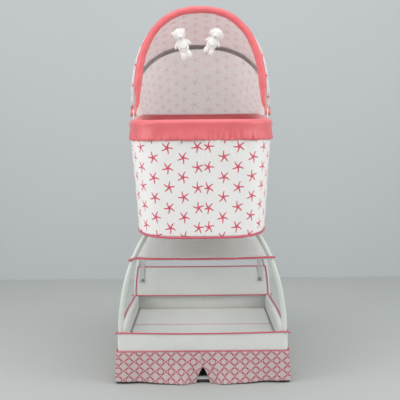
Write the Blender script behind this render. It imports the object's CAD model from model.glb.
"""The finished rocking bassinet: cloth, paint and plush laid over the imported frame.

Metres, +Z up, in the frame's own axes: the foot end faces -Y and the hood is at +Y.
"""

import bisect
import math

import bmesh
import bpy
from mathutils import Matrix, Vector, noise


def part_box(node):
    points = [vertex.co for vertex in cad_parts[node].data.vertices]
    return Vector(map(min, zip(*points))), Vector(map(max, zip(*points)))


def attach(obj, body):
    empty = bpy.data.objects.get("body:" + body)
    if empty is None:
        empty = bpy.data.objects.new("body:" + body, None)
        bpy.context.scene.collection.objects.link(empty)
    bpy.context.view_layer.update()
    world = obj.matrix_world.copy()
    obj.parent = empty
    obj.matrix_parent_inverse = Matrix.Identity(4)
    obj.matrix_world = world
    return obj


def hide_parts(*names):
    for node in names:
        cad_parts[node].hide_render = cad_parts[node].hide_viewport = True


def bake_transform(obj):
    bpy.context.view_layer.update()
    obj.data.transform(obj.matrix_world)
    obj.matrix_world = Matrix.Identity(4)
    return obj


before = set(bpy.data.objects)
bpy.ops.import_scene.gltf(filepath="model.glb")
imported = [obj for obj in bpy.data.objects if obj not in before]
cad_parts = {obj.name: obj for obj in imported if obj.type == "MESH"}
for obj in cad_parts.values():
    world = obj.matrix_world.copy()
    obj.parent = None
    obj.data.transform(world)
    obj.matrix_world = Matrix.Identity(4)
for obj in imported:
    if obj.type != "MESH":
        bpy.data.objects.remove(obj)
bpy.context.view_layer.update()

TAU = 2 * math.pi
STAND = "stand_and_basket"

# Sizes shared with the frame
LEG_RADIUS = 0.0085
LEG_HALF_SPREAD = 0.2495
END_SPACING = 0.295
ARCH_SPRING = 0.150
ARCH_RISE = 0.4115
LEG_FOOT = 0.0631
ROCKER_RADIUS = 0.800
ROCKER_LOW = 0.0103
ROCKER_END = 0.248
RIM_X = 0.222
RIM_Y = 0.413
RIM_FOOT = 0.797
RIM_HEAD = 0.838
BAND_ROLL = 0.0119
BAND_DROP = 0.062
HEM_HEIGHT = 0.4575
LINING_FOOT = 0.5845
HUB_HEIGHT = 0.830
BOW_REACH = 0.344
TRIM_REACH = 0.341
BOW_STRAIGHT = 0.050
BOW_START = 0.013
BOW_EXPONENT = 2.35
FRONT_BOW_X = 0.210
MIDDLE_BOW_X = 0.227
FRONT_EYE_X = 0.220
MIDDLE_EYE_X = 0.2285
BOW_RADIUS = 0.0045
MIDDLE_LEAN = 45.0
TRIM_START = 0.020
SHELF_TOP = 0.3855
BIN_BASE = 0.098
BIN_TOP = 0.154
SKIRT_TOP = 0.0977

SIDES = (("left", -1), ("right", 1))
ENDS = (("front", -1), ("rear", 1))
FRAMES = (("front", -END_SPACING), ("rear", END_SPACING))

# Weld distance of the nets' seams
WELD = 0.000004
# The hood's stars are smaller than the basket's by this
HOOD_PRINT = 1.3


# Shader nodes


def linear(hex_colour):
    """An sRGB hex colour as linear RGBA."""
    levels = [int(hex_colour[i : i + 2], 16) / 255 for i in (0, 2, 4)]
    return (*(x / 12.92 if x <= 0.04045 else ((x + 0.055) / 1.055) ** 2.4 for x in levels), 1.0)


def add(tree, kind, *feeds, out=0, **settings):
    """Adds a node: its kind, an operation after a space, then what feeds its inputs in order or by name."""
    kind, _, operation = kind.partition(" ")
    made = tree.nodes.new("ShaderNode" + kind)
    if operation:
        made.operation = operation
    for key, value in settings.items():
        setattr(made, key, value)
    named = feeds[0] if feeds and isinstance(feeds[0], dict) else dict(enumerate(feeds))
    for key, feed in named.items():
        if isinstance(feed, bpy.types.NodeSocket):
            tree.links.new(feed, made.inputs[key])
        else:
            made.inputs[key].default_value = feed
    return made.outputs[out]


def new_material(name):
    made = bpy.data.materials.new(name)
    made.use_nodes = True
    return made, made.node_tree, made.node_tree.nodes["Principled BSDF"]


def plug(tree, shader, **feeds):
    """Sets the shader's inputs, their names with _ for spaces."""
    for key, feed in feeds.items():
        socket = shader.inputs[key.replace("_", " ")]
        if isinstance(feed, bpy.types.NodeSocket):
            tree.links.new(feed, socket)
        else:
            socket.default_value = feed


# Prints, drawn from cloth coordinates in metres


def in_cell(tree, value, size, chance=0.5, drift=0.0):
    """Where a value lies in its cell, from the cell's middle, which a chance moves by a share."""
    offset = add(tree, "Math MULTIPLY_ADD", chance, drift * size, -(0.5 + drift / 2) * size)
    share = add(tree, "Math FRACT", add(tree, "Math DIVIDE", value, size))
    return add(tree, "Math MULTIPLY_ADD", share, size, offset)


def starfish(tree, across, up):
    """Starfish of five slim arms, 37 mm across, every other column half a step lower."""
    pitch, step, arm, middle, tip = 0.0455, 0.0588, 0.0186, 0.0027, 0.0014
    column = add(tree, "Math FLOOR", add(tree, "Math DIVIDE", across, pitch))
    odd = add(tree, "Math FLOORED_MODULO", column, 2.0)
    lifted = add(tree, "Math MULTIPLY_ADD", odd, step / 2, up)
    row = add(tree, "Math FLOOR", add(tree, "Math DIVIDE", lifted, step))
    chance = add(tree, "TexWhiteNoise", add(tree, "CombineXYZ", column, row, 3.7), out=1)
    turn, right, lift = (add(tree, "SeparateColor", chance, out=i) for i in range(3))
    x = in_cell(tree, across, pitch, right, 0.07)
    y = in_cell(tree, lifted, step, lift, 0.05)
    squared = add(tree, "Math MULTIPLY_ADD", x, x, add(tree, "Math MULTIPLY", y, y))
    distance = add(tree, "Math SQRT", squared)
    angle = add(tree, "Math MULTIPLY_ADD", turn, TAU, add(tree, "Math ARCTAN2", y, x))
    bent = add(tree, "Math MULTIPLY_ADD", distance, 14.0, angle)
    folded = add(tree, "Math PINGPONG", bent, math.pi / 5)
    along = add(tree, "Math MULTIPLY", distance, add(tree, "Math COSINE", folded))
    aside = add(tree, "Math MULTIPLY", distance, add(tree, "Math SINE", folded))
    width = add(tree, "Math MULTIPLY_ADD", along, (tip - middle) / arm, middle)
    beyond = add(tree, "Math MAXIMUM", add(tree, "Math SUBTRACT", along, arm - tip), 0.0)
    beside = add(tree, "Math MULTIPLY_ADD", beyond, beyond, add(tree, "Math MULTIPLY", aside, aside))
    edge = add(tree, "Math SUBTRACT", add(tree, "Math SQRT", beside), width)
    return add(tree, "MapRange", edge, 0.0003, -0.0003, interpolation_type="SMOOTHSTEP")


def trellis(tree, across, up):
    """Rings on a square net, each in a cell of the diagonal lines that cross between them."""
    pitch, step, ring, line = 0.0321, 0.0294, 0.0089, 0.0014
    slope = pitch * step / 2 / math.hypot(pitch, step)
    x, y = in_cell(tree, across, pitch), in_cell(tree, up, step)
    squared = add(tree, "Math MULTIPLY_ADD", x, x, add(tree, "Math MULTIPLY", y, y))
    hoop = add(tree, "Math ABSOLUTE", add(tree, "Math SUBTRACT", add(tree, "Math SQRT", squared), ring))
    right = add(tree, "Math MULTIPLY", add(tree, "Math ABSOLUTE", x), 2 / pitch)
    share = add(tree, "Math MULTIPLY_ADD", add(tree, "Math ABSOLUTE", y), 2 / step, right)
    lattice = add(tree, "Math MULTIPLY", add(tree, "Math ABSOLUTE", add(tree, "Math SUBTRACT", share, 1.0)),
                  slope)
    joined = add(tree, "Math SMOOTH_MIN", hoop, lattice, 0.0022)
    return add(tree, "MapRange", joined, line, line - 0.0008, interpolation_type="SMOOTHSTEP")


# Materials


def woven(name, ground, thread, ink="000000", mask=None, strength=1.0, rough=0.85, sheen=0.25,
          crease=0.0012, glow=0.0):
    """Plain-woven cloth: its threads, soft creases, faint shade changes and an optional print.

    Glow is the share of the light that soaks in and comes out on the far side of thin cloth.
    """
    made, tree, shader = new_material(name)
    cloth = add(tree, "TexCoord", out=2)
    across, up = (add(tree, "SeparateXYZ", cloth, out=i) for i in (0, 1))
    body = add(tree, "TexCoord", out=3)
    colour = linear(ground)
    if mask:
        uneven = add(tree, "TexNoise", {"Vector": cloth, "Scale": 260.0})
        cover = add(tree, "Math MULTIPLY_ADD", uneven, 0.3 * strength, 0.8 * strength)
        cover = add(tree, "Math MULTIPLY", mask(tree, across, up), cover)
        colour = add(tree, "Mix", {0: cover, 6: colour, 7: linear(ink)}, out=2, data_type="RGBA")
    shade = add(tree, "TexNoise", {"Vector": body, "Scale": 11.0, "Detail": 3.0})
    warp, weft = (add(tree, "Math SINE", add(tree, "Math MULTIPLY", axis, math.pi / thread))
                  for axis in (across, up))
    weave = add(tree, "Math MULTIPLY", warp, weft)
    value = add(tree, "Math MULTIPLY_ADD", weave, 0.025, add(tree, "Math MULTIPLY_ADD", shade, 0.07, 0.965))
    folds = add(tree, "TexNoise", {"Vector": body, "Scale": 33.0, "Detail": 4.0})
    soft = add(tree, "Bump", {"Height": folds, "Distance": crease, "Strength": 0.8})
    threads = add(tree, "Bump", {"Height": weave, "Distance": thread / 6, "Strength": 0.5, "Normal": soft})
    plug(tree, shader, Base_Color=add(tree, "HueSaturation", {"Value": value, "Color": colour}),
         Roughness=rough, Sheen_Weight=sheen, Sheen_Roughness=0.5, Specular_IOR_Level=0.25, Normal=threads,
         Subsurface_Weight=glow, Subsurface_Radius=(0.012, 0.010, 0.010), Subsurface_Scale=1.0)
    return made


def satin(name, light, deep, thread):
    """Polyester satin: long floats that shine, deeper colour where it turns away, fine pressed wrinkles."""
    made, tree, shader = new_material(name)
    cloth = add(tree, "TexCoord", out=2)
    body = add(tree, "TexCoord", out=3)
    across, up = (add(tree, "SeparateXYZ", cloth, out=i) for i in (0, 1))
    patches = add(tree, "TexNoise", {"Vector": body, "Scale": 14.0, "Detail": 2.0})
    facing = add(tree, "LayerWeight", {"Blend": 0.35}, out=1)
    amount = add(tree, "Math MULTIPLY_ADD", patches, 0.35, add(tree, "Math MULTIPLY", facing, 0.4))
    colour = add(tree, "Mix", {0: amount, 6: linear(light), 7: linear(deep)}, out=2, data_type="RGBA")
    diagonal = add(tree, "Math MULTIPLY", add(tree, "Math ADD", across, up), TAU / thread)
    floats = add(tree, "Math SINE", diagonal)
    folds = add(tree, "TexNoise", {"Vector": body, "Scale": 80.0, "Detail": 3.0})
    soft = add(tree, "Bump", {"Height": folds, "Distance": 0.0008, "Strength": 0.6})
    threads = add(tree, "Bump", {"Height": floats, "Distance": thread / 8, "Strength": 0.4, "Normal": soft})
    plug(tree, shader, Base_Color=colour, Roughness=0.46, Sheen_Weight=0.25, Sheen_Roughness=0.4,
         Specular_IOR_Level=0.8, Normal=threads)
    return made


def hard(name, tone, rough, grain, depth, wear, coat=0.0, metallic=0.0):
    """A coated, moulded or plated skin: fine grain, cloudy gloss and worn edges."""
    made, tree, shader = new_material(name)
    body = add(tree, "TexCoord", out=3)
    skin = add(tree, "TexNoise", {"Vector": body, "Scale": 1 / grain, "Detail": 2.0})
    cloudy = add(tree, "TexNoise", {"Vector": body, "Scale": 17.0, "Detail": 3.0})
    edge = add(tree, "MapRange", add(tree, "NewGeometry", out=7), 0.52, 0.62, 0.0, 0.25,
               interpolation_type="SMOOTHSTEP")
    shade = add(tree, "Math MULTIPLY_ADD", cloudy, 0.05, 0.975)
    toned = add(tree, "HueSaturation", {"Value": shade, "Color": linear(tone)})
    colour = add(tree, "Mix", {0: edge, 6: toned, 7: linear(wear)}, out=2, data_type="RGBA")
    gloss = add(tree, "Math MULTIPLY_ADD", cloudy, 0.12, rough - 0.06)
    plug(tree, shader, Base_Color=colour, Metallic=metallic, Roughness=gloss, Coat_Weight=coat,
         Coat_Roughness=0.12, Normal=add(tree, "Bump", {"Height": skin, "Distance": depth, "Strength": 0.7}))
    return made


def pile(name, tone, curl, sheen):
    """Short knitted pile or yarn: tufts with darker roots and a soft rim of light."""
    made, tree, shader = new_material(name)
    body = add(tree, "TexCoord", out=3)
    tufts = add(tree, "TexVoronoi", {"Vector": body, "Scale": 1 / curl})
    fluff = add(tree, "TexNoise", {"Vector": body, "Scale": 3 / curl, "Detail": 3.0})
    roots = add(tree, "MapRange", tufts, 0.15, 0.75, 1.0, 0.86, interpolation_type="SMOOTHSTEP")
    height = add(tree, "Math SUBTRACT", fluff, tufts)
    plug(tree, shader, Base_Color=add(tree, "HueSaturation", {"Value": roots, "Color": linear(tone)}),
         Roughness=0.95, Sheen_Weight=sheen, Sheen_Roughness=0.4, Specular_IOR_Level=0.1,
         Normal=add(tree, "Bump", {"Height": height, "Distance": curl / 3, "Strength": 0.8}))
    return made


# Powder-coated steel tube, sprayed and baked: bright, slightly orange-peeled gloss
WHITE_TUBE = hard("powder_coated_tube", "CFD4CE", 0.30, 0.0006, 0.00003, "C9C9C4", coat=0.2)
# Dipped steel wire: a duller, thicker skin
GREY_WIRE = hard("dip_coated_wire", "8F9394", 0.45, 0.0009, 0.00005, "C8C8C8")
# Injection-moulded polypropylene: waxy white with a fine spark-eroded grain
POLYPROPYLENE = hard("moulded_polypropylene", "E6E6E2", 0.42, 0.0009, 0.00006, "F4F4F2")
# Moulded rubber: matt and near black, greyed where it is scuffed
RUBBER = hard("moulded_rubber", "312C2A", 0.78, 0.0007, 0.0001, "55504C")
# Zinc-plated steel: pale metal with a soft cloudiness
ZINC = hard("zinc_plated_steel", "B8BABD", 0.30, 0.0008, 0.00003, "E0E0E0", metallic=1.0)
# White-faced hardboard: matt, browner along its sawn edge
HARDBOARD = hard("faced_hardboard", "D3CDBF", 0.60, 0.0012, 0.00008, "A0917A")
# Moulded acetal snap: smooth mid grey
ACETAL = hard("moulded_acetal", "7F817E", 0.35, 0.0009, 0.00004, "A8AAA6", coat=0.1)
# Screen-printed cotton poplin: 0.8 mm threads, drawn coarser than real ones to show at all
PRINTED_POPLIN = woven("printed_cotton_poplin", "EDECEA", 0.0008, "D4405F", starfish)
# The same poplin as a single layer over the hood, thin enough for light to soak through
HOOD_POPLIN = woven("hood_cotton_poplin", "EFEDEB", 0.0008, "D4405F", starfish, glow=0.9)
# Its reverse: the print shows through as a faint pink
REVERSE_POPLIN = woven("reverse_cotton_poplin", "F7EBE9", 0.0008, "C4607A", starfish, 0.42, glow=0.9)
# The reverse where a second layer backs it: less light soaks through
BACKED_POPLIN = woven("backed_cotton_poplin", "F0E0E0", 0.0008, "C4607A", starfish, 0.42, glow=0.6)
# Screen-printed cotton with a ring trellis, washed to a blush ground
TRELLIS_COTTON = woven("trellis_printed_cotton", "BFB1AF", 0.0009, "A93451", trellis, crease=0.002)
# Uncoated nonwoven-backed polycotton: pale and slightly rumpled
POLYCOTTON = woven("pale_polycotton", "D5D7D4", 0.0010, crease=0.0022)
# Bleached polycotton: the same cloth left whiter, thin enough to pass light from below
BLEACHED_POLYCOTTON = woven("bleached_polycotton", "F8F8F5", 0.0010, crease=0.0018, glow=0.8)
# Brushed polyester over wadding, sewn in diamonds
QUILTED_POLYESTER = woven("quilted_brushed_polyester", "F1EFEA", 0.0009, rough=0.8, crease=0.0006)
# Woven polypropylene webbing: coarse 1.6 mm ribs
WEBBING = woven("woven_polypropylene_webbing", "BDBFBC", 0.0016, crease=0.0003)
# Twisted cotton cord
COTTON_CORD = woven("twisted_cotton_cord", "EDEDEA", 0.0009, crease=0.0002)
# Polyester satin in coral: bright where it faces the light, rose in its hollows
CORAL_SATIN = satin("coral_polyester_satin", "E96C71", "C23F4C", 0.0006)
# The same satin as cord-filled piping, a shade deeper
ROSE_PIPING = satin("rose_satin_piping", "D4586C", "A63A4E", 0.0010)
# Knitted velboa plush with a 1 mm pile
VELBOA = pile("knitted_velboa_plush", "F4F3F1", 0.0022, 0.8)
# Embroidery yarn
YARN = pile("grey_embroidery_yarn", "8E8C8B", 0.0010, 0.3)


# Mesh tools


def placed(name, data):
    obj = bpy.data.objects.new(name, data)
    bpy.context.scene.collection.objects.link(obj)
    return obj


def shaded(build, name, finishes, angle=60.0):
    """The built mesh as an object at the origin."""
    mesh = bpy.data.meshes.new(name)
    build.to_mesh(mesh)
    build.free()
    for finish in finishes:
        mesh.materials.append(finish)
    mesh.shade_smooth()
    mesh.set_sharp_from_angle(angle=math.radians(angle))
    return placed(name, mesh)


def net(name, place, columns, rows, finishes, uv, wall=0.0, smooth=1, angle=60.0):
    """Cloth whose face is place(u, v), its wall behind that face.

    uv(u, v, middle) gives metres on the cloth, middle being the u of the face's middle. Edges that
    place() brings together are welded.
    """
    build = bmesh.new()
    layer = build.loops.layers.uv.new("cloth")
    bmesh.ops.create_grid(build, x_segments=columns, y_segments=rows, size=0.5)
    for face in build.faces:
        middle = face.calc_center_median().x + 0.5
        for loop in face.loops:
            loop[layer].uv = uv(loop.vert.co.x + 0.5, loop.vert.co.y + 0.5, middle)
    for vert in build.verts:
        vert.co = place(vert.co.x + 0.5, vert.co.y + 0.5)
    bmesh.ops.remove_doubles(build, verts=build.verts, dist=WELD)
    obj = shaded(build, name, finishes, angle)
    if wall:
        shell = obj.modifiers.new("wall", "SOLIDIFY")
        shell.thickness = wall
        shell.offset = -1
        shell.material_offset = len(finishes) - 1
    if smooth:
        fine = obj.modifiers.new("fine", "SUBSURF")
        fine.levels = smooth
        fine.render_levels = smooth
    return obj


def pipe(name, path, radius, finish, sides=14, loop=False, swell=None, angle=70.0):
    """A round roll along a path, its radius one number or one for each point, its ends domed or joined."""
    points = [Vector(p) for p in path]
    radii = list(radius) if isinstance(radius, (list, tuple)) else [radius] * len(points)
    if loop:
        points.append(points[0])
        radii.append(radii[0])
    else:
        for _ in range(2):
            heading = (points[0] - points[1]).normalized()
            end, r = points[0], radii[0]
            points[:0] = [end + heading * r, end + heading * r * 0.88, end + heading * r * 0.5]
            radii[:0] = [0.0, r * 0.5, r * 0.87]
            points.reverse()
            radii.reverse()
    last = len(points) - 1
    headings = []
    for i in range(last + 1):
        before = points[i - 1 if i or not loop else last - 1] if i or loop else points[0]
        after = points[i + 1 if i < last or not loop else 1] if i < last or loop else points[last]
        headings.append((after - before).normalized())
    sides_at = [headings[0].orthogonal().normalized()]
    for heading in headings[1:]:
        side = sides_at[-1]
        sides_at.append((side - heading * side.dot(heading)).normalized())
    twist = 0.0
    if loop:
        across = headings[0].cross(sides_at[0])
        twist = math.atan2(sides_at[last].dot(across), sides_at[last].dot(sides_at[0]))
    gone = [0.0]
    for a, b in zip(points, points[1:]):
        gone.append(gone[-1] + (b - a).length)

    def place(u, v):
        i = round(u * last)
        turn = TAU * round(v * sides) / sides
        reach = radii[i] * (1 + (swell(i / last, turn) if swell else 0.0))
        turn = -turn - twist * i / last
        other = headings[i].cross(sides_at[i])
        return points[i] + (sides_at[i] * math.cos(turn) + other * math.sin(turn)) * reach

    girth = TAU * max(radii)
    return net(name, place, last, sides, [finish], lambda u, v, middle: (gone[round(u * last)], v * girth),
               smooth=0, angle=angle)


def button(name, centre, size, finish, axis):
    """A round button, its depth and radius given, turned a quarter about an axis, with rounded rims."""
    build = bmesh.new()
    depth, radius = size
    bmesh.ops.create_cone(build, cap_ends=True, segments=32, radius1=radius, radius2=radius * 0.92,
                          depth=depth)
    rims = [e for e in build.edges if e.calc_face_angle(0) > 0.9]
    bmesh.ops.bevel(build, geom=rims, offset=radius * 0.14, segments=3, profile=0.5, affect="EDGES",
                    material=-1)
    build.transform(Matrix.Translation(centre) @ Matrix.Rotation(math.pi / 2, 4, axis))
    return shaded(build, name, [finish], 40.0)


def eased(share):
    share = min(1.0, max(0.0, share))
    return share * share * (3 - 2 * share)


def ripple(x, y, z, size, seed=0.0):
    """Smooth repeatable noise from -1 to 1 with features about one size across."""
    return noise.noise(Vector((x / size + seed, y / size, z / size)))


def done(piece, body, *nodes, slot=None, sheet=None):
    """The piece rides on its body, stands for its frame nodes, takes its slot and says its flat cut."""
    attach(piece, body)
    if nodes:
        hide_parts(*nodes)
    return piece


def cut(width, height):
    """Cloth coordinates of an oblong of cloth."""
    return lambda u, v, middle: (width * u, height * v)


def piping(name, path, radius, body=STAND, loop=False, turns=80):
    """Satin-covered cord sewn along an edge, its cover lightly twisted."""
    return done(pipe(name, path, radius, ROSE_PIPING, 12, loop,
                     lambda s, a: 0.05 * math.sin(a * 2 + TAU * turns * s)), body, slot="coral_satin")


# Basket plan


def power(value, exponent):
    return math.copysign(abs(value) ** exponent, value)


def plan_point(half_x, half_y, turn):
    angle = TAU * turn
    across, along = power(math.cos(angle), 0.7), power(math.sin(angle), 0.7)
    reach = (abs(across) ** 5 + abs(along) ** 5) ** -0.2
    return half_x * across * reach, half_y * along * reach


def plan_table(steps=1440):
    """Turns from the middle of the foot end by the share of the rim's length gone."""
    turns = [0.75 + i / steps for i in range(steps + 1)]
    places = [Vector(plan_point(RIM_X, RIM_Y, t)) for t in turns]
    gone = [0.0]
    for a, b in zip(places, places[1:]):
        gone.append(gone[-1] + (b - a).length)
    return [g / gone[-1] for g in gone], turns, gone[-1]


PLAN_SHARES, PLAN_TURNS, RIM_LENGTH = plan_table()


def turn_at(share):
    share %= 1.0
    i = min(len(PLAN_SHARES) - 1, max(1, bisect.bisect_left(PLAN_SHARES, share)))
    low, high = PLAN_SHARES[i - 1], PLAN_SHARES[i]
    part = (share - low) / (high - low)
    return PLAN_TURNS[i - 1] + (PLAN_TURNS[i] - PLAN_TURNS[i - 1]) * part


def plan_at(share, inset):
    """Place of the plan drawn in by an inset, and its outward direction."""
    turn = turn_at(share)
    x, y = plan_point(RIM_X - inset, RIM_Y - inset, turn)
    ax, ay = plan_point(RIM_X, RIM_Y, turn - 0.0005)
    bx, by = plan_point(RIM_X, RIM_Y, turn + 0.0005)
    return x, y, Vector((by - ay, ax - bx)).normalized()


def rim_height(y):
    return RIM_FOOT + (RIM_HEAD - RIM_FOOT) * eased((y + RIM_Y) / (2 * RIM_Y))


def hem_height(x):
    return HEM_HEIGHT + 0.012 * min(1.0, abs(x) / 0.1975) ** 4


# Basket


def make_basket_cover():
    """The printed outer cloth, gathered under the band, with a seam down the foot end."""
    seam_x = 0.0092
    seam_share = seam_x / RIM_LENGTH

    def place(u, v):
        x, y, out = plan_at(u + seam_share, 0.005 + 0.0195 * (1 - v))
        base = hem_height(x)
        z = base + (rim_height(y) - 0.050 - base) * v
        slack = math.sin(math.pi * min(1.0, v * 1.04))
        push = ripple(x, y, z * 0.25, 0.075) * 0.0035 * slack
        tucks = eased((v - 0.62) / 0.3) * (1 - eased((v - 0.93) / 0.07))
        push += ripple(x, y, z * 0.08, 0.009, 9.0) * 0.0022 * tucks
        if y < 0:
            away = abs(x - seam_x)
            welt, stitch = math.exp(-(((away - 0.007) / 0.003) ** 2)), math.exp(-((away / 0.004) ** 2))
            push += 0.0009 * welt - 0.0018 * stitch
            push -= 0.0035 * slack * math.exp(-(((x - 0.080) / 0.035) ** 2))
        return x + out.x * push, y + out.y * push, z

    def measured(u, v, middle):
        across = u * RIM_LENGTH + 0.00955 if middle < 0.5 else -(1 - u) * RIM_LENGTH - 0.04875
        return across, 0.2925 * v + 0.002

    cover = net("basket_cover", place, 480, 20, [PRINTED_POPLIN], measured, 0.0014)
    done(cover, STAND, "basket_cloth", sheet=((RIM_LENGTH, 0.32), "hung", ["rim_band_roll", "rim_tube"]))

    path = []
    for i in range(320):
        x, y, _ = plan_at(i / 320, 0.0253)
        path.append((x, y, hem_height(x) - 0.0030 + 0.0006 * ripple(x, y, 0, 0.03, 5.0)))
    hem = piping("basket_hem_piping", path, 0.0034, loop=True, turns=90)
    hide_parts("basket_piping")


def make_rim_band():
    """The padded satin roll over the rim and its skirt, gathered along the lower edge."""
    roll = [(BAND_ROLL * (1 - math.cos(math.pi * i / 10)), BAND_ROLL * (1 - math.sin(math.pi * i / 10)))
            for i in range(11)]
    section = [(0.0030, BAND_DROP - 0.001), (0.0004, BAND_DROP - 0.003), (0.0001, 0.054), (0.0005, 0.047),
               (0.0012, 0.039), (0.0015, 0.031), (0.0012, 0.023), (0.0006, 0.017), *roll, (0.0240, 0.020),
               (0.0236, 0.030)]
    rows = len(section) - 1
    drops = [0.0]
    for (a, b), (c, d) in zip(section, section[1:]):
        drops.append(drops[-1] + math.hypot(c - a, d - b))

    def place(u, v):
        inset, drop = section[round(v * rows)]
        x, y, out = plan_at(u, inset)
        low = eased((drop - 0.020) / 0.036) if inset < 0.02 else 0.0
        ridge = 1 - 2 * abs(ripple(x, y, drop * 0.12, 0.0095, 7.0))
        pull = 1.0 + 0.7 * ripple(x, y, 0, 0.05, 2.0)
        drape = ripple(x, y, drop * 0.5, 0.045, 4.0) * 0.0036
        push = low * (0.0058 * (ridge - 0.6) * low * pull + drape) + 0.0007 * ripple(x, y, drop, 0.02)
        scallop = 0.0020 * low * ripple(x, y, 0, 0.024, 12.0)
        return x + out.x * push, y + out.y * push, rim_height(y) - drop + scallop

    band = net("rim_band_roll", place, 560, rows, [CORAL_SATIN],
               lambda u, v, m: (u * RIM_LENGTH, drops[round(v * rows)]), 0.0022)
    done(band, STAND, "rim_band")


def make_basket_lining():
    """The inner lining, eased onto the rim in shallow folds."""

    def place(u, v):
        turn = turn_at(1 - u)
        low = plan_point(0.1916, 0.3821, turn)
        top = plan_point(0.2020, 0.3930, turn)
        x = low[0] + (top[0] - low[0]) * v
        y = low[1] + (top[1] - low[1]) * v
        z = LINING_FOOT + (rim_height(y) - 0.0305 - LINING_FOOT) * v
        fold = ripple(x, y, z * 0.3, 0.045, 3.0) * 0.0014 * math.sin(math.pi * v)
        tuck = 0.0010 * ripple(x, y, z * 0.1, 0.009, 6.0) * eased((v - 0.8) / 0.15)
        inner = Vector((-x, -y)).normalized() * (fold + tuck + 0.0018)
        return x + inner.x, y + inner.y, z

    lining = net("basket_lining", place, 300, 14, [REVERSE_POPLIN],
                 lambda u, v, middle: (u * RIM_LENGTH, 0.22 * v), 0.0016)
    done(lining, STAND, "basket_liner", sheet=((2.2, 0.22), "hung", ["rim_band_roll"]))


def make_mattress():
    """The mattress pad: crowned, quilted in diamonds, with a corded edge."""
    half_x, half_y, base, depth, quilt, edge = 0.1905, 0.381, 0.5842, 0.0262, 0.062, 0.008
    corner = [(edge, 0.0), (0.003, 0.0025), (0.0006, 0.008), (0.0, 0.013), (0.0006, 0.018), (0.003, 0.0235),
              (edge, depth)]
    under = [(half_x - (half_x - edge) * i / 6, 0.0) for i in range(6)]
    over = [(edge + (half_x - edge) * i / 28, depth) for i in range(1, 29)]
    rings = [*under, *corner, *over]
    rows = len(rings) - 1

    def place(u, v):
        inset, rise = rings[round(v * rows)]
        inset_y = inset if inset < 0.01 else 0.01 + (inset - 0.01) * 1.6
        x, y = plan_point(half_x - inset, half_y - inset_y, u)
        if rise == depth:
            crown = 0.0035 * (1 - (x / half_x) ** 2) * (1 - (y / half_y) ** 4)
            p, q = (x + y) / quilt, (x - y) / quilt
            near = min(abs(p - round(p)), abs(q - round(q)))
            rise += crown + (0.0024 * eased(near / 0.3) - 0.0018) * eased((inset - edge) / 0.02)
        return x, y, base + rise

    def measured(u, v, middle):
        x, y, z = place(u, v)
        return x + z, y + z

    pad = net("mattress_pad", place, 200, rows, [QUILTED_POLYESTER], measured)
    done(pad, STAND, "mattress")
    for label, rise in (("lower", 0.0030), ("upper", 0.0232)):
        path = [(*plan_point(half_x - 0.0018, half_y - 0.0018, i / 220), base + rise) for i in range(220)]
        cord = pipe(f"mattress_{label}_cord", path, 0.0015, POLYCOTTON, 8, True)
        done(cord, STAND, slot="mattress_cloth")


# Hood


def tilted(x, reach, degrees):
    """A point over the hubs' axis, leaning back."""
    lean = math.radians(degrees)
    return Vector((x, reach * math.sin(lean), HUB_HEIGHT + reach * math.cos(lean)))


def bow_point(share, half_x, reach, start, eye_x):
    """(x, height) at a share of the way along a bow from its +X foot."""
    side = 0.06
    edge = min(share, 1 - share)
    if edge < side:
        height = start + (BOW_STRAIGHT - start) * edge / side
        lean = min(1.0, 1 - (height - BOW_START) / (BOW_STRAIGHT - BOW_START)) ** 2
        x = half_x + (eye_x - half_x) * lean
        return (x if share < 0.5 else -x), height
    angle = math.pi * (share - side) / (1 - 2 * side)
    across = half_x * power(math.cos(angle), 2 / BOW_EXPONENT)
    return across, BOW_STRAIGHT + (reach - BOW_STRAIGHT) * abs(math.sin(angle)) ** (2 / BOW_EXPONENT)


def even_shares(half_x, count, start=BOW_START, eye_x=None):
    """Bow shares evenly spaced by length, and the bow's length."""
    fine = [i / 900 for i in range(901)]
    places = [Vector(bow_point(s, half_x, BOW_REACH, start, eye_x or half_x)) for s in fine]
    gone = [0.0]
    for a, b in zip(places, places[1:]):
        gone.append(gone[-1] + (b - a).length)
    found = []
    for i in range(count + 1):
        wanted = gone[-1] * i / count
        k = min(900, max(1, bisect.bisect_left(gone, wanted)))
        part = (wanted - gone[k - 1]) / max(1e-9, gone[k] - gone[k - 1])
        found.append((k - 1 + part) / 900)
    return found, gone[-1]


# The roll is thin at its feet, thickest at a third of its height and a little slimmer over the top
TRIM_THICK_REACH = 0.120


def trim_radius(reach):
    if reach < TRIM_THICK_REACH:
        return 0.0062 + 0.0073 * eased((reach - TRIM_START) / (TRIM_THICK_REACH - TRIM_START))
    return 0.0135 - 0.0015 * eased((reach - TRIM_THICK_REACH) / (BOW_REACH - TRIM_THICK_REACH))


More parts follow.
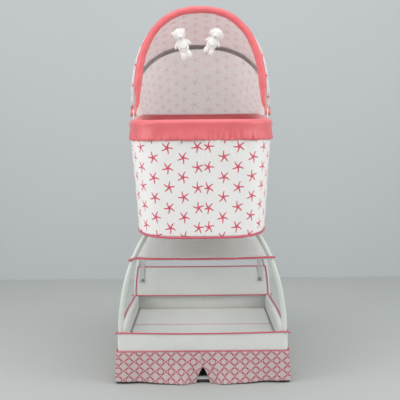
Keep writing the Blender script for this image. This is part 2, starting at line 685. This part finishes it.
def make_hood_trim():
    """The satin roll on the front bow, twisted into slight wrinkles, its ends tucked in at the rim."""
    shares, length = even_shares(FRONT_BOW_X, 260, TRIM_START, FRONT_EYE_X)
    path, radii = [], []
    for share in shares:
        x, reach = bow_point(share, FRONT_BOW_X, TRIM_REACH, TRIM_START, FRONT_EYE_X)
        path.append(tilted(x, reach, 0))
        radii.append(trim_radius(reach) - 0.0002)
    tail = [(0.2163, -0.0118, -0.0080), (0.2170, -0.0122, 0.0010), (0.2172, -0.0105, 0.0085),
            (0.2168, -0.0050, 0.0150)]
    tail_radii = [0.0022, 0.0030, 0.0040, 0.0051]
    first = [Vector((x, y, HUB_HEIGHT + z)) for x, y, z in tail]
    last = [Vector((-p.x, p.y, p.z)) for p in reversed(first)]

    def swell(share, angle):
        along = share * length
        twist = ripple(along, math.cos(angle) * 0.012, math.sin(angle) * 0.012, 0.016, 3.0)
        folds = math.sin(angle * 2 + along / 0.0075) * (0.4 + 0.6 * ripple(along, 0, 0, 0.06, 8.0))
        return 0.085 * twist + 0.055 * folds

    trim = pipe("hood_trim_roll", [*first, *path, *last], [*tail_radii, *radii, *reversed(tail_radii)],
                CORAL_SATIN, 32, swell=swell, angle=180.0)
    done(trim, "hood_front", "hood_trim")


# The cover's front edge stands outside the trim, so that its print shows beside it
FRONT_EDGE_X = 0.2328
FRONT_EDGE_FOOT_X = 0.2370
COVER_FOOT = 0.006
HOOD_COLUMNS = 160
HOOD_SHARES, HOOD_LENGTH = even_shares(FRONT_BOW_X, HOOD_COLUMNS)


def hood_edges(u):
    """(x, reach, degrees) of the cover's front edge and of its line over the middle bow."""
    share = HOOD_SHARES[HOOD_COLUMNS - round(u * HOOD_COLUMNS)]
    x, reach = bow_point(share, FRONT_EDGE_X, BOW_REACH + 0.003, COVER_FOOT, FRONT_EDGE_FOOT_X)
    behind = trim_radius(reach) + 0.001
    front = (x, math.hypot(reach, behind), min(40.0, math.degrees(math.atan2(behind, reach))))
    over = BOW_RADIUS + 0.0028
    x, reach = bow_point(share, MIDDLE_BOW_X + over, BOW_REACH + over, COVER_FOOT, MIDDLE_EYE_X + over)
    return front, (x, reach, MIDDLE_LEAN)


def make_canopy():
    """The hood's cover, seamed over the middle bow, the casing that holds it there and the hubs' caps."""

    lip_depth, lip_share = 0.0105, 0.06
    casing_spread, casing_hem, casing_depth = 1.7, 0.0030, 0.0088
    cap_x, cap_size = 0.2303, (0.0078, 0.0122)

    def front(u, v):
        start, end = hood_edges(u)
        x, reach, degrees = (p + (q - p) * v for p, q in zip(start, end))
        slack = math.sin(math.pi * v) * math.sin(math.pi * u) ** 0.5
        wave = 0.0018 * slack * ripple(u * HOOD_LENGTH, 0, v * 0.3, 0.05)
        lip = lip_depth * (1 - eased(v / lip_share)) * min(1.0, abs(x) / 0.2) ** 2
        grow = 1 + (wave - 0.0050 * slack + 0.0004 - lip) / math.hypot(x, reach)
        return tilted(x * grow, reach * grow, degrees)

    def back(u, v):
        _, line = hood_edges(u)
        start = tilted(line[0], line[1] + 0.0004, MIDDLE_LEAN)
        rx, ry = plan_point(RIM_X - BAND_ROLL, RIM_Y - BAND_ROLL, (0.996 - 0.992 * u) / 2)
        end = Vector((rx, ry, rim_height(ry) + 0.001))
        slack = math.sin(math.pi * v) * math.sin(math.pi * u)
        bulge = slack * (0.010 + 0.0022 * ripple(u * HOOD_LENGTH, v * 0.25, 0, 0.06, 8.0))
        tucks = eased((v - 0.86) / 0.12) * (1 - eased((v - 0.97) / 0.03))
        bulge += 0.0014 * tucks * ripple(u * HOOD_LENGTH, v * 0.02, 0, 0.010, 5.0)
        ridge = -0.0003 * math.exp(-((v / 0.02) ** 2))
        return start.lerp(end, v) + Vector((0, bulge + ridge, bulge / 2 + ridge))

    def measured(u, v, middle):
        return u * HOOD_LENGTH * HOOD_PRINT + 0.0055, v * 0.35 + 0.02

    for name, place, inside, bodies, node, ends, flat in (
        ("canopy_front", front, BACKED_POPLIN, ("hood_front", "hood_middle"), "hood_front_cloth",
         ((0, -0.0020, 1.0473), (0, 0.1550, 0.9822)), (0.86, 0.27)),
        ("canopy_back", back, REVERSE_POPLIN, ("hood_middle", STAND), "hood_back_cloth",
         ((0, 0.1523, 0.9850), (0, 0.2173, 0.8280)), (0.84, 0.24)),
    ):
        panel = net(name, place, HOOD_COLUMNS, 34, [HOOD_POPLIN, inside], measured, 0.0012)
        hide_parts(node)
        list(bodies)
        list(ends)
        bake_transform(panel)

    def casing(u, v):
        lean = 2 * v - 1
        lift = casing_hem - casing_depth * (1 - lean * lean) ** 1.2
        x, reach = bow_point(0.015 + 0.97 * u, MIDDLE_BOW_X + lift, BOW_REACH + lift, 0.016, MIDDLE_EYE_X)
        return tilted(x, reach, MIDDLE_LEAN + casing_spread * lean)

    strip = net("middle_bow_casing", casing, 150, 10, [REVERSE_POPLIN],
                cut(HOOD_LENGTH * HOOD_PRINT, 0.10), 0.0005)
    done(strip, "hood_middle", slot="lining_cloth")
    for side, sign in SIDES:
        cap = button(f"{side}_hub_cap", (sign * cap_x, 0, HUB_HEIGHT), cap_size, CORAL_SATIN, "Y")
        done(cap, "hood_middle", slot="coral_satin")


# Toys

TOY_FORMS = {
    "left": {
        "lean": -19.0, "shift": -0.0115,
        "head": ((0, 0, -0.0172), (0.042, 0.037, 0.040)),
        "body": ((0, 0, -0.0572), (0.036, 0.031, 0.050)),
        "arms": (0.0185, 0.0477, (0.013, 0.013, 0.031), (0.62, 0.78)),
        "legs": (0.0088, 0.0862, (0.0200, 0.0185, 0.034), (0.06, 0.99)),
        "ears": (0.0185, 0.0072, (0.013, 0.008, 0.013)),
    },
    "right": {
        "lean": 26.0, "shift": 0.0156,
        "head": ((0, 0, -0.0124), (0.040, 0.036, 0.037)),
        "body": ((0, 0, -0.0482), (0.034, 0.030, 0.044)),
        "arms": (0.0172, 0.0397, (0.012, 0.012, 0.028), (0.62, 0.78)),
        "legs": (0.0084, 0.0710, (0.0188, 0.0176, 0.031), (0.08, 0.98)),
        "ears": (0.0200, 0.0147, (0.009, 0.012, 0.021)),
    },
}


def egg(build, centre, size, direction=(0, 0, 1), taper=0.0, steps=28):
    """A stuffed form that tapers along a direction."""
    made = bmesh.ops.create_uvsphere(build, u_segments=steps, v_segments=steps // 2, radius=0.5)["verts"]
    turn = Vector((0, 0, 1)).rotation_difference(Vector(direction).normalized()).to_matrix()
    for vert in made:
        swell = 1 + taper * vert.co.z * 2
        local = Vector((vert.co.x * swell * size[0], vert.co.y * swell * size[1], vert.co.z * size[2]))
        vert.co = turn @ local + Vector(centre)


def make_toy(side):
    """A plush animal: one stuffed skin for head, ears, body and limbs, with a stitched face."""
    form = TOY_FORMS[side]
    body = f"toy_{side}"
    low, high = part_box(f"{side}_toy_string")
    top = Vector(((low[0] + high[0]) / 2, (low[1] + high[1]) / 2, high[2]))
    end = Vector((top.x, top.y, low[2]))

    line = bpy.data.curves.new(f"{side}_toy_cord", "CURVE")
    line.dimensions = "3D"
    line.bevel_depth = 0.0006
    line.bevel_resolution = 4
    line.use_fill_caps = True
    spline = line.splines.new("POLY")
    spline.points.add(7)
    for i, point in enumerate(spline.points):
        point.co = (*top.lerp(end, i / 7), 1)
    line.materials.append(COTTON_CORD)
    cord = placed(f"{side}_toy_cord", line)
    done(cord, body, f"{side}_toy_string")

    turn = Matrix.Rotation(math.radians(form["lean"]), 4, "Y")
    lean = Matrix.Translation(end - Vector((0, 0, 0.0003))) @ turn
    lean = lean @ Matrix.Translation((form["shift"], 0, 0))
    head_at, head_size = Vector(form["head"][0]), Vector(form["head"][1])
    belly_at, belly_size = Vector(form["body"][0]), Vector(form["body"][1])
    nose_at = head_at + Vector((0, -head_size.y * 0.41, -head_size.z * 0.27))
    build = bmesh.new()
    egg(build, head_at, head_size, taper=0.08)
    egg(build, belly_at, belly_size, taper=-0.16)
    egg(build, (head_at + belly_at) / 2 + Vector((0, 0, 0.002)), (0.024, 0.022, 0.016))
    egg(build, nose_at, head_size * 0.4)
    for sign in (-1, 1):
        for part in ("arms", "legs"):
            across, drop, size, (tx, tz) = form[part]
            egg(build, (sign * across, 0, -drop), size, (-sign * tx, 0, tz), -0.12)
        across, drop, size = form["ears"]
        egg(build, (sign * across, 0, -drop), size)
    skin = shaded(build, f"{side}_toy_plush", [VELBOA], 180.0)
    remesh = skin.modifiers.new("skin", "REMESH")
    remesh.mode = "VOXEL"
    remesh.voxel_size = 0.0011
    relax = skin.modifiers.new("relax", "SMOOTH")
    relax.factor = 0.5
    relax.iterations = 7
    mesh = bpy.data.meshes.new_from_object(skin.evaluated_get(bpy.context.evaluated_depsgraph_get()))
    skin.modifiers.clear()
    skin.data = mesh
    mesh.transform(lean)
    for vert in mesh.vertices:
        x, y, z = vert.co
        fluff = 0.0005 * ripple(x, y, z, 0.0022) + 0.0007 * ripple(x, y, z, 0.008, 4.0)
        vert.co += vert.normal * fluff
    mesh.shade_smooth()
    done(skin, body, *(f"{side}_toy_{part}" for part in
                       ("body", "head", "left_arm", "right_arm", "left_leg", "right_leg")))

    face = nose_at.y - head_size.y * 0.2
    stitches = [("nose", (nose_at.x, face + 0.0004, nose_at.z + 0.002), (0.0034, 0.0020, 0.0024))]
    for label, sign in (("left_eye", -1), ("right_eye", 1)):
        spot = head_at + Vector((sign * head_size.x * 0.2, -head_size.y * 0.44, head_size.z * 0.12))
        stitches.append((label, spot, (0.0018, 0.0018, 0.0020)))
    for label, spot, size in stitches:
        build = bmesh.new()
        egg(build, spot, size, steps=16)
        build.transform(lean)
        done(shaded(build, f"{side}_toy_{label}", [YARN], 180.0), body, slot="cord")
    smile = []
    for i in range(13):
        x = (i / 12 - 0.5) * 0.012
        back, rise = 0.0012 + 30 * x * x, 18 * x * x - 0.0042
        smile.append(lean @ Vector((nose_at.x + x, face + back, nose_at.z + rise)))
    belly = []
    for i in range(25):
        t = math.pi * (0.12 + 0.76 * i / 24)
        x, z = math.cos(t) * belly_size.x * 0.34, -math.sin(t) * belly_size.z * 0.22
        round_off = 1 - (2 * x / belly_size.x) ** 2 - (2 * z / belly_size.z) ** 2
        y = -belly_size.y / 2 * math.sqrt(max(0.0, round_off)) - 0.0003
        belly.append(lean @ (belly_at + Vector((x, y * 1.02, z))))
    for label, path, radius in (("smile", smile, 0.0008), ("belly_seam", belly, 0.0007)):
        done(pipe(f"{side}_toy_{label}", path, radius, YARN, 8), body, slot="cord")


# Stand


def arch_half(z):
    climb = max(0.0, z - ARCH_SPRING) / ARCH_RISE
    return LEG_HALF_SPREAD * math.sqrt(max(0.0, 1 - climb**2))


def arch_curve(y, steps):
    return [(LEG_HALF_SPREAD * math.cos(math.pi * i / steps), y,
             ARCH_SPRING + ARCH_RISE * math.sin(math.pi * i / steps)) for i in range(steps + 1)]


def make_tubes():
    """The stand's bent tubes, smooth all round."""
    for end, y in FRAMES:
        right = [(LEG_HALF_SPREAD, y, LEG_FOOT), (LEG_HALF_SPREAD, y, 0.10)]
        left = [(-x, y, z) for x, y, z in reversed(right)]
        arch = pipe(f"{end}_arch_tube", [*right, *arch_curve(y, 96), *left], LEG_RADIUS, WHITE_TUBE, 24)
        done(arch, STAND, f"{end}_leg_arch")
        path = []
        for i in range(61):
            x = ROCKER_END * (1 - i / 30)
            path.append((x, y, ROCKER_LOW + ROCKER_RADIUS - math.sqrt(ROCKER_RADIUS**2 - x * x)))
        done(pipe(f"{end}_rocker_tube", path, 0.008, WHITE_TUBE, 24), STAND, f"{end}_rocker")


def refinish(finishes):
    """Puts a finish on each frame node whose name holds its label."""
    for label, finish in finishes.items():
        for name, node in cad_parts.items():
            if label in name:
                for slot in node.material_slots:
                    slot.material = finish


def make_shelf():
    """The cloth shelf over the upper rails, with a thick rose piping along both ends."""
    half_x, half_y = 0.2185, 0.3062

    def place(u, v):
        across, along = 2 * u - 1, 2 * v - 1
        x, y = half_x * across, half_y * along
        sag = 0.004 * (1 - across**2) * (0.5 + 0.5 * along**2)
        wave = 0.0012 * ripple(x, y, 0, 0.09, 6.0) * (1 - abs(across) ** 6)
        down = 0.0058 * (eased((abs(across) - 0.975) / 0.025) + eased((abs(along) - 0.982) / 0.018))
        return x, y, SHELF_TOP - sag + wave - min(0.0058, down)

    shelf = net("upper_shelf", place, 120, 150, [BLEACHED_POLYCOTTON], cut(half_x * 2, half_y * 2),
                0.0018, 0)
    for end, y in FRAMES:
        cutter = pipe(f"{end}_shelf_cutter", arch_curve(y, 64), LEG_RADIUS + 0.0004, POLYCOTTON, 20)
        hole = shelf.modifiers.new(end, "BOOLEAN")
        hole.operation = "DIFFERENCE"
        hole.object = cutter
    mesh = bpy.data.meshes.new_from_object(shelf.evaluated_get(bpy.context.evaluated_depsgraph_get()))
    shelf.modifiers.clear()
    shelf.data = mesh
    for end in ("front", "rear"):
        bpy.data.objects.remove(bpy.data.objects[f"{end}_shelf_cutter"])
    done(shelf, STAND, "shelf_cloth",
         sheet=((0.45, 0.63), "stretched", ["left_upper_rail", "right_upper_rail"]))
    for end, sign in ENDS:
        path = []
        for i in range(81):
            across = 2 * i / 80 - 1
            droop = 0.004 * (1 - across**2) + 0.006 * eased((-across - 0.93) / 0.07)
            z = SHELF_TOP - 0.0012 - droop + 0.0005 * ripple(across * half_x, 0, 0, 0.06)
            path.append((half_x * 1.005 * across, sign * (half_y + 0.0014), z))
        left, right = ([(x, y - sign * 0.006 * k, z - 0.0012 * k) for k in order]
                       for (x, y, z), order in ((path[0], (2, 1)), (path[-1], (1, 2))))
        piping(f"shelf_{end}_piping", [*left, *path, *right], 0.0031, turns=30)


def rounded_route(share, half_x, half_y, radius):
    """Place and outward direction at a share of the way round a rounded oblong from the foot middle."""
    fx, fy = half_x - radius, half_y - radius
    bend = math.pi * radius / 2
    lengths = (fx, bend, 2 * fy, bend, 2 * fx, bend, 2 * fy, bend, fx)
    gone = share % 1.0 * sum(lengths)
    leg = 0
    while leg < 8 and gone > lengths[leg]:
        gone -= lengths[leg]
        leg += 1
    straight = {0: ((gone, -half_y), (0, -1)), 2: ((half_x, gone - fy), (1, 0)),
                4: ((fx - gone, half_y), (0, 1)), 6: ((-half_x, fy - gone), (-1, 0)),
                8: ((gone - fx, -half_y), (0, -1))}
    if leg in straight:
        return straight[leg]
    angle = gone / radius + {1: -math.pi / 2, 3: 0.0, 5: math.pi / 2, 7: math.pi}[leg]
    out = (math.cos(angle), math.sin(angle))
    centre = {1: (fx, -fy), 3: (fx, fy), 5: (-fx, fy), 7: (-fx, -fy)}[leg]
    return (centre[0] + radius * out[0], centre[1] + radius * out[1]), out


def make_bin():
    """The storage bin: a soft open tray with piped edges, linings, a stiff back and its ties."""
    half_x, half_y, radius, cord = 0.2600, 0.3055, 0.0135, 0.0023
    floor_cloth, side_cloth = (0.478, 0.568), (0.072, 0.566)
    wall_cloth = (4 * (half_x + half_y) - 8 * radius + TAU * radius, 0.056)

    def top_height(x, y):
        at_end = eased((abs(y) - half_y + 0.014) / 0.014)
        return BIN_TOP - 0.004 * at_end * max(0.0, 1 - (x / LEG_HALF_SPREAD) ** 2)

    def wall(u, v):
        (x, y), (nx, ny) = rounded_route(u, half_x, half_y, radius)
        z = BIN_BASE + (top_height(x, y) - BIN_BASE) * v
        clear = min(abs(abs(x) - LEG_HALF_SPREAD) + abs(abs(y) - END_SPACING), 0.08) / 0.08
        push = 0.0016 * ripple(x, y, z * 0.4, 0.07, 1.0) * math.sin(math.pi * v) * clear
        return x + nx * push, y + ny * push, z

    tray = net("storage_bin", wall, 420, 10, [POLYCOTTON], cut(*wall_cloth), 0.0014)
    done(tray, STAND, "bin_cloth",
         sheet=(wall_cloth, "hung", ["left_lower_rail", "right_lower_rail"]))

    def underside(u, v):
        return (half_x - 0.003) * (2 * u - 1), (half_y - 0.003) * (2 * v - 1), BIN_BASE + 0.0004

    base = net("bin_underside", underside, 30, 36, [POLYCOTTON], cut(0.52, 0.61), 0.0012, 0)
    done(base, STAND, slot="pale_cloth", sheet=((0.514, 0.605), "laid", ["bin_floor_board"]))

    floor_x, floor_y, floor_top, seam_x, seam_y = 0.239, 0.284, 0.1046, 0.235, 0.020

    def rumple(x, y):
        return 0.0008 * ripple(x, y, 0, 0.11, 2.0)

    def bin_floor(u, v):
        x, y = floor_x * (2 * u - 1), floor_y * (2 * v - 1)
        return x, y, floor_top + rumple(x, y)

    inside = net("bin_floor_cloth", bin_floor, 48, 56, [POLYCOTTON], cut(*floor_cloth), 0.0008, 0)
    done(inside, STAND, slot="pale_cloth", sheet=(floor_cloth, "laid", ["bin_floor_board"]))
    seam = []
    for i in range(61):
        x = seam_x * (i / 30 - 1)
        seam.append((x, seam_y, floor_top + 0.0003 + rumple(x, seam_y)))
    piping("bin_floor_seam", seam, 0.0009, turns=60)

    fold = [(0.2585, 0.1540), (0.2540, 0.1552), (0.2495, 0.1556), (0.2440, 0.1548), (0.2400, 0.1515),
            (0.2388, 0.1440), (0.2386, 0.1300), (0.2386, 0.1160), (0.2384, 0.1062)]
    for side, sign in SIDES:
        def lining(u, v, sign=sign):
            x, z = fold[round((1 - u if sign > 0 else u) * 8)]
            y = 0.283 * (2 * v - 1)
            return sign * (x - 0.0008 * (1 + ripple(y, z * 0.5, 0, 0.06, 3.0))), y, z

        cloth = net(f"bin_{side}_lining", lining, 8, 90, [POLYCOTTON], cut(*side_cloth), 0.0010)
        done(cloth, STAND, slot="pale_cloth", sheet=(side_cloth, "folded", [f"{side}_lower_rail"]))
        path = []
        for i in range(121):
            y = -0.298 + 0.573 * i / 120
            x = half_x - 0.0095 * max(0.0, (y - 0.02) / 0.255)
            lift = 0.0016 + 0.0026 * eased((y - 0.02) / 0.06)
            path.append((sign * x, y, BIN_TOP + lift + 0.0004 * ripple(y, sign, 0, 0.05)))
        piping(f"bin_{side}_piping", path, cord, turns=60)
    for end, sign in ENDS:
        path = []
        for i in range(121):
            across = 2 * i / 120 - 1
            x = 0.2655 * across
            droop = 0.0022 * eased((abs(across) - 0.955) / 0.045)
            path.append((x, sign * (half_y + 0.0004), top_height(x, half_y) + 0.0014 - droop))
        piping(f"bin_{end}_piping", path, cord, turns=60)

    face, foot, head = 0.2848, 0.1536, 0.2658

    def back(u, v):
        z = foot + (head - foot) * v
        x = (2 * u - 1) * arch_half(z) * 0.998
        wave = 0.0008 * ripple(x, 0, z, 0.05, 9.0) * math.sin(math.pi * u) * math.sin(math.pi * v)
        return x, face + min(0.0, wave), z - 0.0015 * (1 - (2 * u - 1) ** 2) * v

    panel = net("bin_back_panel", back, 90, 24, [POLYCOTTON], cut(0.49, 0.112), 0.0012, 0)
    done(panel, STAND, "bin_back_cloth", sheet=((0.49, 0.113), "stretched", ["rear_arch_tube"]))
    rim = [((i / 30 - 1) * arch_half(head), face - 0.0012, head - 0.0015 * (1 - (i / 30 - 1) ** 2))
           for i in range(61)]
    left = [(-arch_half(0.154 + 0.112 * i / 12), face - 0.0012, 0.154 + 0.112 * i / 12) for i in range(12)]
    right = [(-x, y, z) for x, y, z in reversed(left)]
    piping("bin_back_piping", [*left, *rim, *right], 0.0019, turns=60)
    low = [((i / 30 - 1) * 0.2485, face - 0.0030, 0.1562 - 0.0018 * (1 - (i / 30 - 1) ** 2))
           for i in range(61)]
    piping("bin_back_lower_piping", low, 0.0020, turns=60)

    for side, sign, middle, drop in (("left", -1, 0.2255, 0.205), ("right", 1, 0.2215, 0.208)):
        def strap(u, v, sign=sign, middle=middle, drop=drop):
            z = drop + (0.376 - drop) * v
            y = 0.2815 + 0.0012 * math.sin(v * 9) + 0.0006 * math.sin(u * math.pi)
            return sign * (middle - 0.010 * v) + 0.017 * (u - 0.5), y, z

        tie = net(f"bin_tie_{side}", strap, 6, 40, [WEBBING], cut(0.017, 0.17), 0.0012, 0)
        done(tie, STAND, slot="pale_cloth", sheet=((0.017, 0.171), "hung", ["upper_shelf"]))
        snap = button(f"bin_tie_snap_{side}", (sign * (middle - 0.003), 0.2790, drop + 0.009),
                      (0.003, 0.0058), ACETAL, "X")
        done(snap, STAND, slot="white_plastic")


def make_lattice_skirts():
    """The gathered trellis skirts round the base, parted in the middle of each end."""
    half_x, half_y, radius, depth, slit_reach = 0.264, 0.3095, 0.006, 0.097, 0.084
    total = 2 * (half_x - radius) + 2 * (half_y - radius) + math.pi * radius

    def right(u, v):
        (x, y), (nx, ny) = rounded_route(min(0.4999999, u / 2), half_x, half_y, radius)
        at_end = abs(ny) > abs(nx)
        hem = 0.0012 + 0.0063 * (eased(abs(x) / half_x) if at_end else 1.0)
        z = hem + (SKIRT_TOP - hem) * v
        fall = 1 - v
        fine = 0.5 + 0.5 * math.sin(u * total / 0.0065 + 4 * ripple(u * total, 0, 0, 0.06, 3.0))
        out = 0.003 * fall + 0.003 * (1 - math.cos(TAU * 12 * u)) * fall
        out += 0.0012 * fine * (1 - fall * 0.6) * eased(fall * 9)
        if at_end:
            near = 1 - eased(x / slit_reach)
            slit = max(0.0, 1 - z / 0.052)
            out += 0.018 * fall**1.6 * math.exp(-(((x - 0.0765) / 0.060) ** 2))
            x += (0.0225 * math.sqrt(slit) - 0.0050 * (1 - slit)) * near
        return x + nx * out, y + ny * out, z

    def left(u, v):
        x, y, z = right(1 - u, v)
        return -x, y + math.copysign(0.0016, -y) * (1 - eased(abs(x) / slit_reach)) * (0.2 + 0.8 * v), z

    for side, place in (("right", right), ("left", left)):
        def measured(u, v, middle, flip=side == "left"):
            return (1 - u if flip else u) * total + 0.016, depth * v + 0.0085

        skirt = net(f"{side}_trellis_skirt", place, 320, 18, [TRELLIS_COTTON], measured, 0.0009)
        done(skirt, STAND, f"{side}_lattice_skirt",
             sheet=((total * 1.08, depth), "gathered", ["storage_bin"]))
    path = []
    for i in range(420):
        (x, y), _ = rounded_route(i / 420, half_x - 0.0008, half_y - 0.0008, radius)
        path.append((x, y, SKIRT_TOP + 0.0002))
    piping("trellis_top_piping", path, 0.0018, loop=True, turns=120)


# Setting


WALL_Y = 1.56
WORLD_STRENGTH = 0.80
CAMERA_PLACE = (-0.0044, -2.700, 0.7348)
CAMERA_DOWN = 4.21
CAMERA_ROLL = -0.508


def make_stage():
    """Pale floor, plain wall and soft lights."""
    for name, centre, tilt, size, tone in (("floor", (0, WALL_Y - 6, 0), 0.0, 6.0, "AEB2B0"),
                                           ("wall", (0, WALL_Y, 5), math.pi / 2, 6.0, "B8BCBE")):
        made, tree, shader = new_material(f"{name}_paint")
        body = add(tree, "TexCoord", out=3)
        clouds = add(tree, "TexNoise", {"Vector": body, "Scale": 1.25, "Detail": 2.0})
        tint = add(tree, "Math MULTIPLY_ADD", clouds, 0.05, 0.975)
        plug(tree, shader, Base_Color=add(tree, "HueSaturation", {"Value": tint, "Color": linear(tone)}),
             Roughness=0.9, Specular_IOR_Level=0.1)
        # Clear from behind, so that the part can be looked at from there
        one_sided = add(tree, "MixShader", {0: add(tree, "NewGeometry", out=6), 1: shader.outputs[0],
                                            2: add(tree, "BsdfTransparent")})
        tree.links.new(one_sided, tree.nodes["Material Output"].inputs[0])
        build = bmesh.new()
        bmesh.ops.create_grid(build, x_segments=1, y_segments=1, size=size)
        build.transform(Matrix.Translation(centre) @ Matrix.Rotation(tilt, 4, "X"))
        shaded(build, name, [made])

    world = bpy.data.worlds.new("studio")
    bpy.context.scene.world = world
    world.use_nodes = True
    world.node_tree.nodes["Background"].inputs[0].default_value = (1, 1, 1, 1)
    world.node_tree.nodes["Background"].inputs[1].default_value = WORLD_STRENGTH
    for name, place, aim, size, watts in (
        ("left_softbox", (-2.2, -1.2, 1.4), (0, 0, 0.6), 1.6, 27),
        ("right_softbox", (2.2, -1.1, 1.4), (0, 0, 0.6), 1.6, 24),
        ("top_softbox", (0, -0.5, 3.2), (0, 0, 0.5), 2.2, 33),
    ):
        light = bpy.data.lights.new(name, "AREA")
        light.size = size
        light.energy = watts
        obj = placed(name, light)
        obj.location = place
        obj.rotation_mode = "QUATERNION"
        obj.rotation_quaternion = (Vector(aim) - Vector(place)).to_track_quat("-Z", "Y")


def make_camera():
    camera = bpy.data.cameras.new("camera")
    camera.lens = 72
    camera.sensor_width = 36
    obj = placed("camera", camera)
    obj.location = CAMERA_PLACE
    pitch = Matrix.Rotation(math.radians(90 - CAMERA_DOWN), 4, "X")
    roll = Matrix.Rotation(math.radians(CAMERA_ROLL), 4, "Z")
    obj.rotation_mode = "QUATERNION"
    obj.rotation_quaternion = (pitch @ roll).to_quaternion()
    bpy.context.scene.camera = obj
    bpy.context.scene.view_settings.view_transform = "Standard"


make_camera()
make_toy("left")
make_toy("right")
make_basket_cover()
make_rim_band()
make_basket_lining()
make_mattress()
make_hood_trim()
make_canopy()
make_tubes()
make_shelf()
make_bin()
make_lattice_skirts()
refinish({
    "rail": WHITE_TUBE, "bow": WHITE_TUBE, "socket": POLYPROPYLENE, "saddle": POLYPROPYLENE,
    "hub": POLYPROPYLENE, "foot": RUBBER, "pin": ZINC, "rocker_pad": RUBBER, "basket_frame": GREY_WIRE,
    "rim_tube": GREY_WIRE, "mattress_board": HARDBOARD, "bin_floor_board": HARDBOARD,
})
make_stage()
